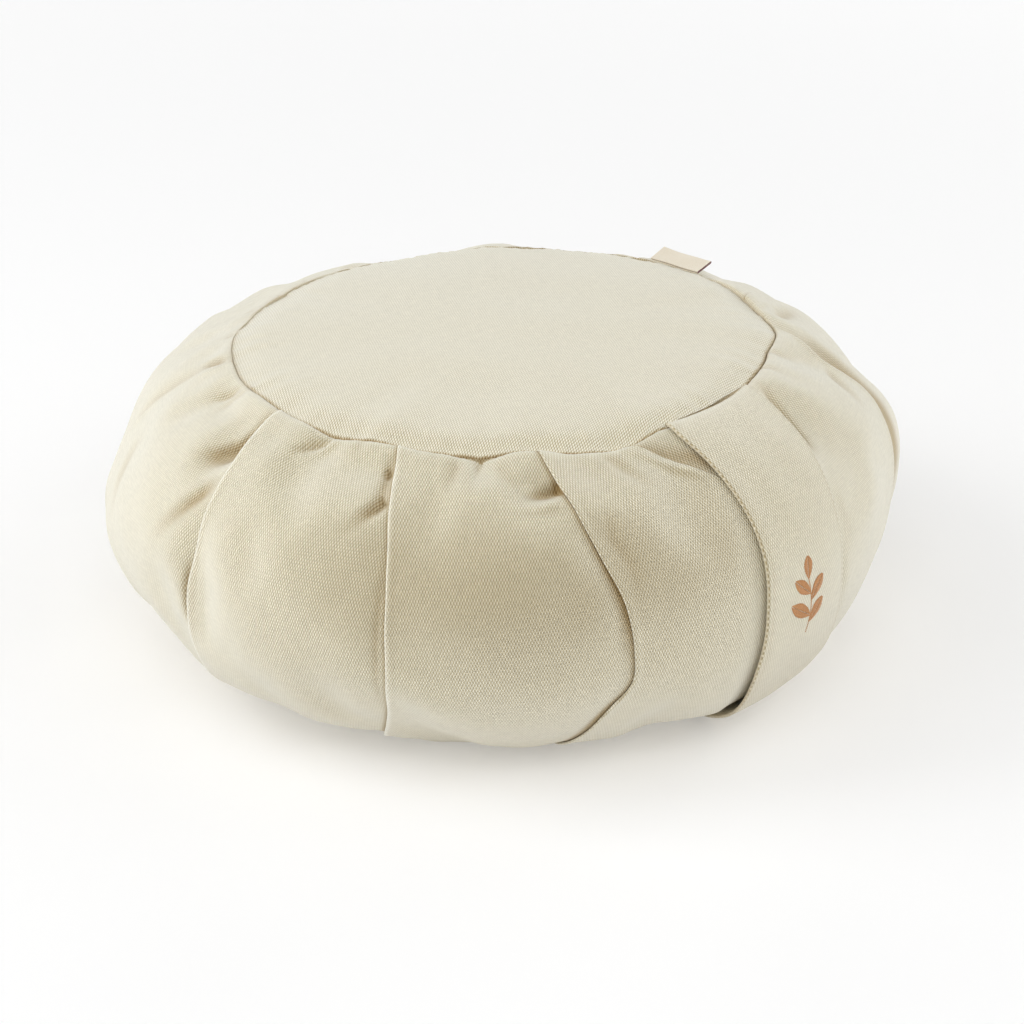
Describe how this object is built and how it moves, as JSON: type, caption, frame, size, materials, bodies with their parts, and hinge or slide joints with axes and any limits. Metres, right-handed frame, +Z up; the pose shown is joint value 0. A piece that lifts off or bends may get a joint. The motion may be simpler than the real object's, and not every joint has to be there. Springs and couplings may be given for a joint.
{
  "type": "zafu meditation cushion",
  "caption": "Round filled floor cushion with a pleated side wall, flat-seamed top and base panels, a wide carrying strap sewn down the side and a small folded tab in the top seam.",
  "frame": {"origin": "centre of the flat base that the cushion rests on", "axes": "+Z up, -Y towards the front, +X towards the strap's side"},
  "size_m": [0.3644, 0.3591, 0.1442],
  "materials": {
    "canvas": "matt cream cotton canvas in plain weave",
    "strap_canvas": "matt cream cotton canvas, edge-stitched on both long sides",
    "woven_tab": "fine woven satin tape, bare"
  },
  "bodies": {
    "root": {"side_band": "canvas", "top_panel": "canvas", "base_panel": "canvas", "carry_strap": "strap_canvas", "side_label": "woven_tab"}
  },
  "joints": []
}
